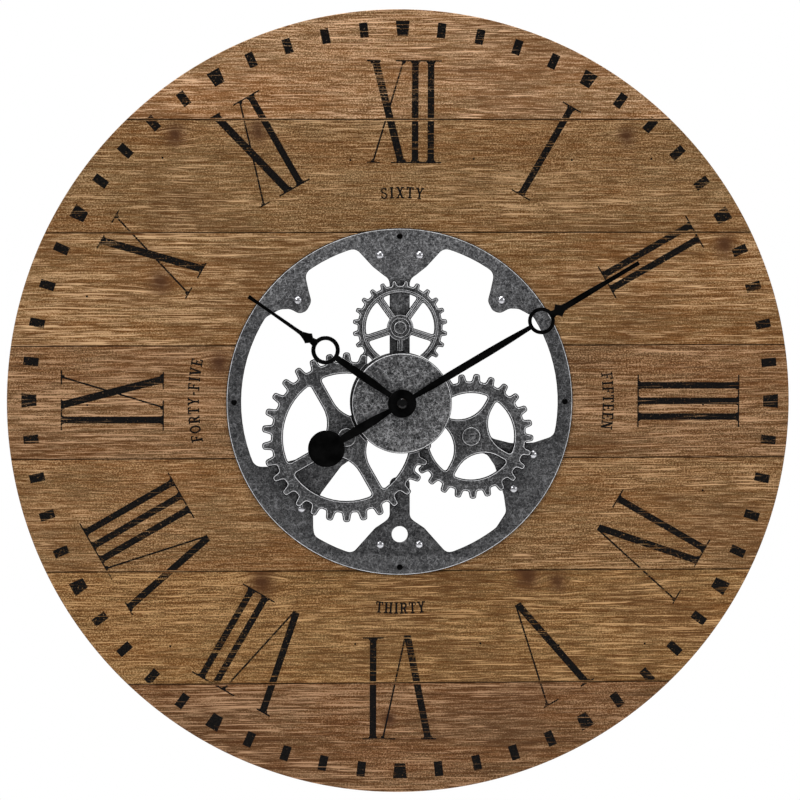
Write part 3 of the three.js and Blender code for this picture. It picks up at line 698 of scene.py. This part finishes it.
def letter(ch):
    """A slab-serif capital ten units tall: (polygons, width)."""
    s, t = 1.75, 1.15              # stem, slab
    stem = lambda u: bar(u, 0, u, 10, s)
    slab = lambda u, v, half=1.75: bar(u - half, v, u + half, v, t)
    foot, head = t / 2, 10 - t / 2
    if ch == "I":
        return [stem(1.9), slab(1.9, foot), slab(1.9, head)], 3.8
    if ch == "T":
        return [stem(3.2), bar(0.2, head, 6.2, head, t), bar(0.6, 7.2, 0.6, 10, t),
                bar(5.8, 7.2, 5.8, 10, t), slab(3.2, foot)], 6.4
    if ch in "FE":
        out = [stem(1.9), slab(1.6, foot), bar(0.2, head, 6.0, head, t), bar(5.5, 7.4, 5.5, 10, t),
               bar(1.9, 5.1, 4.6, 5.1, t), bar(4.5, 3.9, 4.5, 6.3, t * 0.8)]
        if ch == "E":
            out += [bar(0.2, foot, 6.2, foot, t), bar(5.7, 0, 5.7, 2.8, t)]
        return out, 6.5
    if ch == "N":
        return [bar(1.7, 0, 1.7, 10, 1.2), bar(6.1, 0, 6.1, 10, 1.2), slant(6.1, 1.7, 1.0, 0, 10),
                slab(1.6, foot, 1.6), slab(6.1, head, 1.6), slab(1.3, head, 1.2)], 7.7
    if ch == "H":
        return [stem(1.9), stem(6.0), bar(1.9, 5, 6.0, 5, t), slab(1.9, foot), slab(1.9, head),
                slab(6.0, foot), slab(6.0, head)], 7.9
    if ch == "R":
        return [stem(1.9), slab(1.9, foot), bar(0.2, head, 3.8, head, t), bar(1.9, 4.9, 3.8, 4.9, t),
                *ring_arc(3.6, 7.15, 2.1, 2.25, -90, 90, s, 10), slant(5.9, 3.9, 0.95, 0, 5),
                slab(6.0, foot, 1.2)], 7.2
    if ch == "Y":
        return [bar(3.6, 0, 3.6, 4.8, s), slant(3.6, 1.4, 0.9, 4.2, 10), slant(3.6, 5.9, 0.7, 4.2, 10),
                slab(3.6, foot), slab(1.4, head, 1.4), slab(5.9, head, 1.4)], 7.2
    if ch == "V":
        return [slant(3.6, 1.3, 0.95, 0, 10), slant(3.8, 6.0, 0.7, 0, 10), slab(1.4, head, 1.5),
                slab(6.0, head, 1.4)], 7.3
    if ch == "X":
        return [slant(5.8, 1.6, 1.0, 0, 10), slant(1.4, 5.9, 0.65, 0, 10), slab(1.5, head, 1.4),
                slab(5.9, head, 1.4), slab(1.5, foot, 1.4), slab(5.9, foot, 1.4)], 7.4
    if ch == "O":
        return ring_arc(3.7, 5, 2.75, 4.25, 0, 360, 1.6, 20), 7.4
    if ch == "S":
        return [*ring_arc(3.1, 7.4, 2.0, 2.05, 20, 270, 1.45, 12),
                *ring_arc(3.1, 2.85, 2.2, 2.2, 90, -160, 1.45, 12),
                bar(5.1, 7.3, 5.1, 9.6, 1.0), bar(0.9, 0.6, 0.9, 2.9, 1.0)], 6.3
    return [bar(0.6, 4.6, 3.4, 4.6, 1.5)], 4.0      # a hyphen


def on_dial(polys, deg, r, flip=False):
    """Polygons drawn about u = 0 set at a clock angle, feet at radius r; flip reads from outside."""
    a = math.radians(deg + PRINT_TURN)
    ru, rv = (math.cos(a), -math.sin(a)), (math.sin(a), math.cos(a))
    out = []
    for poly in polys:
        pts = [(PRINT_AT[0] + ru[0] * u + rv[0] * (r + v), PRINT_AT[1] + ru[1] * u + rv[1] * (r + v))
               for u, v in ([(-u, -v) for u, v in poly] if flip else poly)]
        s = sum(p[0] * q[1] - q[0] * p[1] for p, q in zip(pts, pts[1:] + pts[:1]))
        out.append(pts if s > 0 else pts[::-1])
    return out


def word(text, deg, mid, width, flip):
    """A word bent along the circle through its letters' middles, centred on a clock angle."""
    glyphs = [letter(ch) for ch in text]
    space = (width - sum(w for _, w in glyphs)) / (len(text) - 1)
    at = -width / 2
    out = []
    for polys, w in glyphs:
        polys = [[(u - w / 2, v - 5) for u, v in p] for p in polys]
        turn = math.degrees((at + w / 2) / mid)
        out += on_dial(polys, deg + (-turn if flip else turn), mid, flip)
        at += w + space
    return out


INK = []
for i, text in enumerate(NUMERALS):
    INK += on_dial(numeral(text), 30 * i, FOOT)
for i in range(60):
    low, high = (3.7, 3.7) if i % 5 else (4.7, 6.15)          # half widths of a mark, wider at the hours
    INK += on_dial([[(-low, 0), (low, 0), (high, MARK_HIGH), (-high, MARK_HIGH)]], 6 * i, MARK_R)
WORDS = (("SIXTY", 0, 38.0, False), ("FIFTEEN", 90, 50.0, False), ("THIRTY", 180, 43.7, True),
         ("FORTY-FIVE", 270, 73.5, False))
for text, deg, width, flip in WORDS:
    INK += word(text, deg, WORD_R, width, flip)


# ---- boards ---------------------------------------------------------------------------
def arc_pts(r, z0, z1, side, n):
    """Points on a circle from height z0 to z1, on the right (side 1) or left (side -1)."""
    a0, a1 = (math.asin(max(-1.0, min(1.0, z / r))) for z in (z0, z1))
    return [(side * r * math.cos(a0 + (a1 - a0) * i / n), r * math.sin(a0 + (a1 - a0) * i / n))
            for i in range(n + 1)]


SEAM = 0.02                      # hairline left between neighbouring boards
BEVEL = 1.3                      # planed off each long edge, so the printing misses it
ROUNDED = 0.5                    # taken off each round edge


def board_loop(k, half, dz, dr):
    """Outline of board k, anticlockwise, its long edges moved in by dz and its round ones by dr. half is -1
    or 1 for the two pieces of the middle row, else 0."""
    mid = ((ROWS - 1) / 2 - k) * ROW_PITCH
    rim, well = DIAL_R - dr, WELL_R + dr
    lo = -rim if k == ROWS - 1 else mid - ROW_PITCH / 2 + SEAM / 2 + dz
    hi = rim if k == 0 else mid + ROW_PITCH / 2 - SEAM / 2 - dz
    right, left = arc_pts(rim, lo, hi, 1, 48), arc_pts(rim, hi, lo, -1, 48)
    if half:
        return right + arc_pts(well, hi, lo, 1, 36) if half > 0 else left + arc_pts(well, lo, hi, -1, 36)
    if k == MIDDLE - 1:          # the well bites into the lower edge
        return right + left + arc_pts(well, lo, well, -1, 36) + arc_pts(well, well, lo, 1, 36)[1:]
    if k == MIDDLE + 1:          # the well bites into the upper edge
        return right + arc_pts(well, hi, -well, 1, 36) + arc_pts(well, -well, hi, -1, 36)[1:] + left
    if k == 0:
        return right + left[1:]
    return right[1:] + left if k == ROWS - 1 else right + left


def printed_board(k, half, tag):
    """A board with its printing let into the front face as faces of its own."""
    f = BOARD_FACE
    steps = ((BEVEL, ROUNDED, f), (0.95, 0.15, f + 0.3), (0.42, 0.0, f + 0.85), (0.0, 0.0, f + 1.8),
             (0.0, 0.0, BOARD_BACK - 1.0), (0.8, 0.4, BOARD_BACK))
    verts, faces, ids = stack([([board_loop(k, half, dz, dr)], y) for dz, dr, y in steps])
    keep = [i for i, where in enumerate(ids) if where != FRONT]
    faces, ids = [faces[i] for i in keep], [ids[i] for i in keep]
    rim = board_loop(k, half, BEVEL, ROUNDED)
    n = len(rim)
    # region 0 is the flat front face, and the others are the printing
    flat = [z for _, z in rim]
    pts, regions = [Vector(p) for p in rim], [list(range(n))]
    for poly in INK:
        poly = clip(clip(poly, max(flat), 1), min(flat), -1)
        if len(poly) < 3 or (half and sum(p[0] for p in poly) * half < 0):
            continue
        if all(math.hypot(*p) > DIAL_R - 1.0 for p in poly):
            continue
        regions.append(list(range(len(pts), len(pts) + len(poly))))
        pts += [Vector(p) for p in poly]
    out_pts, _, out_faces, source, _, owner = delaunay_2d_cdt(pts, [], regions, 1, 1e-5, True)
    index = {}
    for i, p in enumerate(out_pts):
        mine = [s for s in source[i] if s < n]
        if mine:
            index[i] = mine[0]     # a rim point is shared with the bevel
        else:
            index[i] = len(verts)
            verts.append((p.x, f, p.y))
    for tri, who in zip(out_faces, owner):
        if 0 in who:
            a, b, c = (out_pts[i] for i in tri[:3])
            tri = list(tri) if cross2(a, b, c) > 0 else list(tri)[::-1]
            faces.append(tuple(index[i] for i in tri))
            ids.append(PRINT if len(who) > 1 else FRONT)
    kind = {FRONT: 0, PRINT: 1, 0: 0, 1: 0, 2: 2, 3: 0, 4: 2, BACK: 0}       # materials: face, ink, seam groove darkened as painted shade
    knots = KNOTS.get(k + 1, ())
    seed = 10.0 + 7.3 * k + 3.0 * half
    # the third material is this wood darkened to 0.30: painted shade in the grooves between boards, front and
    # back
    mats = [wood(f"board_{k + 1}{tag}_face", ROW_MEAN[k], seed, knots),
            wood(f"board_{k + 1}{tag}_ink", ROW_MEAN[k], seed, (), inked=True),
            wood(f"board_{k + 1}{tag}_seam", ROW_MEAN[k], seed, knots, 0.30)]
    piece(f"board_{k + 1}{tag}", verts, faces, mats, FIXED, f"board_row_{k + 1}{tag}",
          [kind[i] for i in ids], 15.0)


def clip(poly, z, side):
    """The part of a convex polygon below (side 1) or above (side -1) a level."""
    out = []
    for a, b in zip(poly, poly[1:] + poly[:1]):
        ina, inb = (a[1] - z) * side <= 0, (b[1] - z) * side <= 0
        if ina:
            out.append(a)
        if ina != inb:
            t = (z - a[1]) / (b[1] - a[1])
            out.append((a[0] + (b[0] - a[0]) * t, z))
    return out


for k in range(ROWS):
    for half, tag in (((-1, "_left"), (1, "_right")) if k == MIDDLE else ((0, ""),)):
        printed_board(k, half, tag)

# nails, where the boards are fixed to the battens behind
NAIL_R, NAIL_HIGH = 0.9, 0.2
NAILS = {1: ((-207, 16), (-43, 14), (65, 15), (151, 14), (221, 15)), 2: ((-273, -6),),
         3: ((-273, -2), (267, -3)), 4: ((267, 20),),
         5: ((-201, -16), (-39, -15), (71, -15), (140, -17), (216, -16))}      # by board, from its middle
f = BOARD_FACE
nail = [(0, f - NAIL_HIGH), (NAIL_R * 0.6, f - NAIL_HIGH * 0.85), (NAIL_R, f - NAIL_HIGH * 0.3),
        (NAIL_R, f + 1.0), (0, f + 1.0)]
verts, faces, _ = merge([lathe(nail, 16, (x, 0.5 * (ROWS - 2 * k - 1) * ROW_PITCH + dz))
                         for k, row in sorted(NAILS.items()) for x, dz in row])
piece("board_nails", verts, faces, [M["painted_wall_shade_and_nail_black"]], FIXED, None)

# ---- frame behind the boards ----------------------------------------------------------
for node in ("batten_left", "batten_right", "batten_top", "batten_bottom", "cleat_top", "cleat_bottom"):
    dress(node, M["pine"], 0.9)
plate_piece("keyhole_hanger", "hanger_plate", HANGER, (0.3, 0.1), [M["zinc"]] * 3, FIXED)
for tag in ("left", "right"):
    dress(f"hanger_screw_{tag}", M["zinc"])

# ---- gear plate, gears, rivets --------------------------------------------------------
# gear castings: face, a pale edge band (worn metal and painted highlight), and near-black walls (painted
# shade)
METAL = [M["gunmetal"], M["edge_wear_and_highlight"], M["painted_wall_shade_and_nail_black"]]
WEAR_AND_HIGHLIGHT_R = 148.0                 # the plate's edge band is pale beyond this radius: worn metal with a painted highlight
# the gear plate: the same pale edge band and near-black walls of painted shade
plate_piece("gear_plate_sheet", "gear_plate", (PLATE_FACE, PLATE_BACK), (1.0, 0.5),
            [M["iron"], M["edge_wear_and_highlight"], M["painted_wall_shade_and_nail_black"]], FIXED, WEAR_AND_HIGHLIGHT_R)
plate_piece("large_gear_casting", "large_gear", FRONT_GEAR, GEAR_WEAR_AND_HIGHLIGHT, METAL, FIXED)
plate_piece("medium_gear_casting", "medium_gear", REAR_GEAR, GEAR_WEAR_AND_HIGHLIGHT, METAL, FIXED)
f = REAR_GEAR[0]
verts, faces, ids = merge([
    plate_shell(face_loops("small_gear", 1), *REAR_GEAR, 1.3, 0.8),
    stack(shrunk(face_loops("small_gear", -1), (0.8, f - 1.1), (0.45, f - 1.0), (0, f - 0.2), (0, f + 0.4)))])
piece("small_gear_casting", verts, faces, METAL, FIXED, "small_gear", [PLATE_KIND[i] for i in ids])

front, rear = PLATE_FACE - GAP, PLATE_BACK + GAP
for tag, at, face, head, high in (("large", LARGE_AT, FRONT_GEAR[0], 8.3, 1.5),
                                  ("medium", MEDIUM_AT, REAR_GEAR[0], 8.3, 1.5),
                                  ("small", SMALL_AT, REAR_GEAR[0], 5.8, 1.0)):
    f = face - GAP
    top = f - high
    pin = [(0, top), (head - 1.1, top), (head - 0.8, top + 0.04), (head - 0.4, top + 0.25),
           (head - 0.1, top + 0.6), (head, top + 0.9), (head, f), (3.0, f), (3.0, rear), (5.0, rear),
           (4.6, PLATE_BACK + 1.4), (4.2, PLATE_BACK + 1.8), (0, PLATE_BACK + 1.8)]
    # pin heads: a pale ring at the edge (worn metal and painted highlight) and near-black sides (painted
    # shade)
    turned_piece(f"{tag}_gear_pin_head", pin, 64, at, METAL, f"{tag}_gear_pin",
                 [0, 0, 1, 2, 2, 2, 0])
    seat = face + GEAR_THICK + GAP
    collar = [(3.3, seat), (8.2, seat), (8.5, seat + 0.3), (8.5, front - 0.3), (8.2, front), (3.3, front)]
    turned_piece(f"{tag}_gear_collar", collar, 48, at, [M["zinc"]], f"{tag}_gear_spacer")

RIVETS = [("top_left", -7.7, 129.6), ("top_right", 7.7, 129.6), ("tab_left", -45, 126),
          ("tab_right", 45, 126), ("right_upper", 111.6, 126), ("right_lower", 127.4, 126),
          ("bottom_right", 172.2, 126), ("bottom_left", 187.8, 126), ("left_lower", 222.8, 126.6),
          ("left_upper", 238.6, 126)]        # name, clock angle and radius
rivet = [(RIVET_R * math.sin(math.radians(a)), front - RIVET_HIGH * math.cos(math.radians(a)))
         for a in range(0, 91, 9)]
rivet += [(1.7, front), (1.7, rear), (2.8, rear), (2.6, PLATE_BACK + 0.9), (1.8, PLATE_BACK + 1.3),
          (0, PLATE_BACK + 1.3)]
for tag, a, r in RIVETS:
    turned_piece(f"dome_rivet_{tag}", rivet, 40, clock(a, r), [M["chrome"]], f"rivet_{tag}")
for tag in ("top", "right", "bottom", "left"):
    dress(f"rim_screw_{tag}", M["black"])
for tag in ("top", "right", "left"):
    dress(f"cup_screw_{tag}", M["zinc"])

# ---- centre cup -----------------------------------------------------------------------
c, r, rim = CUP_FACE, CUP_R, CUP_RIM
cup = [(4.3, c + 0.2), (4.5, c), (r - 1.5, c), (r - 1.1, c + 0.05), (r - 0.6, c + 0.25), (r - 0.25, c + 0.6),
       (r - 0.05, c + 1.1), (r, c + 1.6), (r, rim - 0.3), (r - 0.3, rim), (HUB_HOLE_R, rim),
       (HUB_HOLE_R, rim - CUP_WALL), (r - 1.2, rim - CUP_WALL), (r - 1.2, c + CUP_WALL), (4.3, c + CUP_WALL)]
# the cup: a pale ring where the face turns (worn metal and painted highlight), then its rounded rim and side
# wall near black (painted shade)
turned_piece("centre_cup_spun", cup, 160, (0.0, 0.0), [M["pewter"], M["edge_wear_and_highlight"], M["painted_wall_shade_and_nail_black"]],
             "centre_cup", [0, 0, 0, 1, 2, 2, 2, 2, 2, 0], 30.0)

# ---- movement -------------------------------------------------------------------------
dress("movement_case", M["plastic"], 0.25)
dress("movement_lid", M["plastic"], 0.3)
dress("setting_knob", M["plastic"], 0.15)
dress("motor_block", M["brass"], 0.3)
dress("minute_arbor", M["brass"])
for node in ("third_wheel", "motion_wheel", "hour_wheel"):
    dress(node, M["nylon"])
plate_piece("fixing_nut", "bush_nut", (NUT_FACE, CUP_FACE - GAP), (0.35, 0.12), [M["brass"]] * 3, FIXED)

# ---- battery and its contacts ---------------------------------------------------------
CELL_R, CELL_HALF, CAP_HIGH = 7.25, 25.25, 1.2
BAY_END = 26.3                   # inner end walls of the battery bay
CELL_Y = CUP_FACE + CUP_WALL + GAP + 1.2 + GAP + CELL_R
CELL_Z = (-BAY_END - 10.9 - 0.6) / 2


def along_x(verts):
    """Points turned from the Y axis to the battery's own."""
    return [(y, CELL_Y - x, CELL_Z + z) for x, y, z in verts]


h, r, top = CELL_HALF, CELL_R, CELL_HALF - CAP_HIGH
cell = [(0, -h), (2.6, -h), (2.9, -h + 0.15), (r - 1.3, -h + 0.15), (r - 0.75, -h), (r - 0.35, -h + 0.15),
        (r - 0.08, -h + 0.6), (r - 0.08, -h + 1.1), (r, -h + 1.2), (r, 13.0), (r, 16.5), (r, h - 2.9),
        (r - 0.08, h - 2.8), (r - 0.1, h - 2.2), (r - 0.9, h - 1.35), (r - 1.5, top), (3.2, top),
        (2.75, top + 0.1), (2.7, h - 0.35), (2.35, h - 0.03), (0, h)]
verts, faces = lathe(cell, 72)
piece("aa_cell", along_x(verts), faces, [M["zinc"], M["wrap"], M["wrap_band"]], "cell", "battery",
      bands(faces, 72, [0] * 8 + [1, 2, 1, 0]))

# a flat coil at the plain end, and a dished tab at the button end
WIRE_R, TURNS, STEPS = 0.22, 2.6, 120
TOUCH = 0.05                     # room left at each end of the spring
reach = BAY_END - CELL_HALF - 2 * WIRE_R - 2 * TOUCH
path = []
for i in range(STEPS + 1):
    t = i / STEPS
    a = 2 * math.pi * TURNS * t
    wide = 1.6 + 3.4 * t
    path.append((-CELL_HALF - WIRE_R - TOUCH - reach * t, CELL_Y + wide * math.cos(a),
                 CELL_Z + wide * math.sin(a)))
verts, faces = [], []
for i, p in enumerate(path):
    q = Vector(path[min(i + 1, STEPS)]) - Vector(path[max(i - 1, 0)])
    side = q.cross(Vector((1, 0, 0))).normalized()
    up = side.cross(q).normalized()
    for j in range(8):
        a = math.pi * j / 4
        verts.append(tuple(Vector(p) + side * (WIRE_R * math.cos(a)) + up * (WIRE_R * math.sin(a))))
for i in range(STEPS):
    for j in range(8):
        a, b = i * 8 + j, i * 8 + (j + 1) % 8
        faces.append((a, b, b + 8, a + 8))
faces += [tuple(range(7, -1, -1)), tuple(range(STEPS * 8, STEPS * 8 + 8))]
piece("battery_spring", verts, faces, [M["zinc"]], FIXED, None)
tab = [(0, h + 0.12), (2.0, h + 0.12), (2.6, h + 0.4), (5.2, h + 0.45), (5.4, h + 0.6),
       (5.4, BAY_END - TOUCH), (0, BAY_END - TOUCH)]
verts, faces = lathe(tab, 48)
piece("battery_tab", along_x(verts), faces, [M["zinc"]], FIXED, None)

# ---- hands ----------------------------------------------------------------------------
BLACK = [M["black"]] * 3
plate_piece("hour_hand_blade", "hour_hand", HOUR_HAND, (0.28, 0.1), BLACK, "hour")
plate_piece("minute_hand_blade", "minute_hand", MINUTE_HAND, (0.28, 0.1), BLACK, "minute")
dress("hand_nut", M["black_nut"])

# ---- floor, light and camera ----------------------------------------------------------
FLOOR_BELOW = 0.25               # metres under the dial, as it hangs
FLOOR_R = 1.9
ROOM_LIGHT = 0.22                # all round; the camera itself sees plain white
floor_look = Look("pale_floor")
patchy = floor_look.noise(floor_look.place(), 2.0, 2.0)
floor_mat = floor_look.finish(floor_look.mix(patchy, srgb(240, 240, 240), srgb(246, 246, 246)), 0.9)
me = bpy.data.meshes.new("floor")
me.from_pydata([clock(4 * i, FLOOR_R) + (0.0,) for i in range(90)], [], [tuple(range(89, -1, -1))])
me.materials.append(floor_mat)
floor = bpy.data.objects.new("floor", me)
floor.location = (0, 0, CAD_BOX[0][2] - FLOOR_BELOW)
bpy.context.scene.collection.objects.link(floor)

world = bpy.data.worlds.new("studio")
bpy.context.scene.world = world
world.use_nodes = True
sky = world.node_tree
room = sky.nodes["Background"]
room.inputs["Color"].default_value = (1, 1, 1, 1)
room.inputs["Strength"].default_value = ROOM_LIGHT
white = sky.nodes.new("ShaderNodeBackground")
white.inputs["Color"].default_value = (1, 1, 1, 1)
path = sky.nodes.new("ShaderNodeLightPath")
both = sky.nodes.new("ShaderNodeMixShader")
sky.links.new(path.outputs["Is Camera Ray"], both.inputs[0])
sky.links.new(room.outputs[0], both.inputs[1])
sky.links.new(white.outputs[0], both.inputs[2])
sky.links.new(both.outputs[0], sky.nodes["World Output"].inputs["Surface"])


def soft_light(name, where, size, power):
    """A round lamp at a point, aimed at the dial's middle."""
    data = bpy.data.lights.new(name, "AREA")
    data.shape = "DISK"
    data.size = size
    data.energy = power
    obj = bpy.data.objects.new(name, data)
    obj.location = where
    obj.rotation_mode = "QUATERNION"
    obj.rotation_quaternion = (-Vector(where)).to_track_quat("-Z", "Y")
    bpy.context.scene.collection.objects.link(obj)


soft_light("key_upper_left", (-2.5, -2.4, 2.4), 1.4, 88.0)
soft_light("fill_right", (2.9, -2.1, 0.9), 1.6, 34.0)
soft_light("top", (0.0, -0.3, 3.0), 2.0, 100.0)
soft_light("behind", (0.6, 3.0, 1.6), 1.8, 90.0)

CAMERA_AZ, CAMERA_EL, CAMERA_FAR = -3.8, 2.6, 5.0        # degrees, degrees, metres
VIEW_WIDTH = 0.6998              # metres across the picture, at the aim
CAMERA_AIM = Vector((0.0002, PLATE_FACE * MM, 0.0017))
SENSOR = 36.0
a, e = math.radians(CAMERA_AZ), math.radians(CAMERA_EL)
back = Vector((math.sin(a) * math.cos(e), -math.cos(a) * math.cos(e), math.sin(e)))
data = bpy.data.cameras.new("camera")
data.sensor_width = SENSOR
data.lens = SENSOR * CAMERA_FAR / VIEW_WIDTH
data.clip_start, data.clip_end = 0.05, 100.0
camera = bpy.data.objects.new("camera", data)
camera.location = CAMERA_AIM + back * CAMERA_FAR
camera.rotation_mode = "QUATERNION"
camera.rotation_quaternion = (-back).to_track_quat("-Z", "Y")
bpy.context.scene.collection.objects.link(camera)
bpy.context.scene.camera = camera
bpy.context.scene.view_settings.view_transform = "Standard"
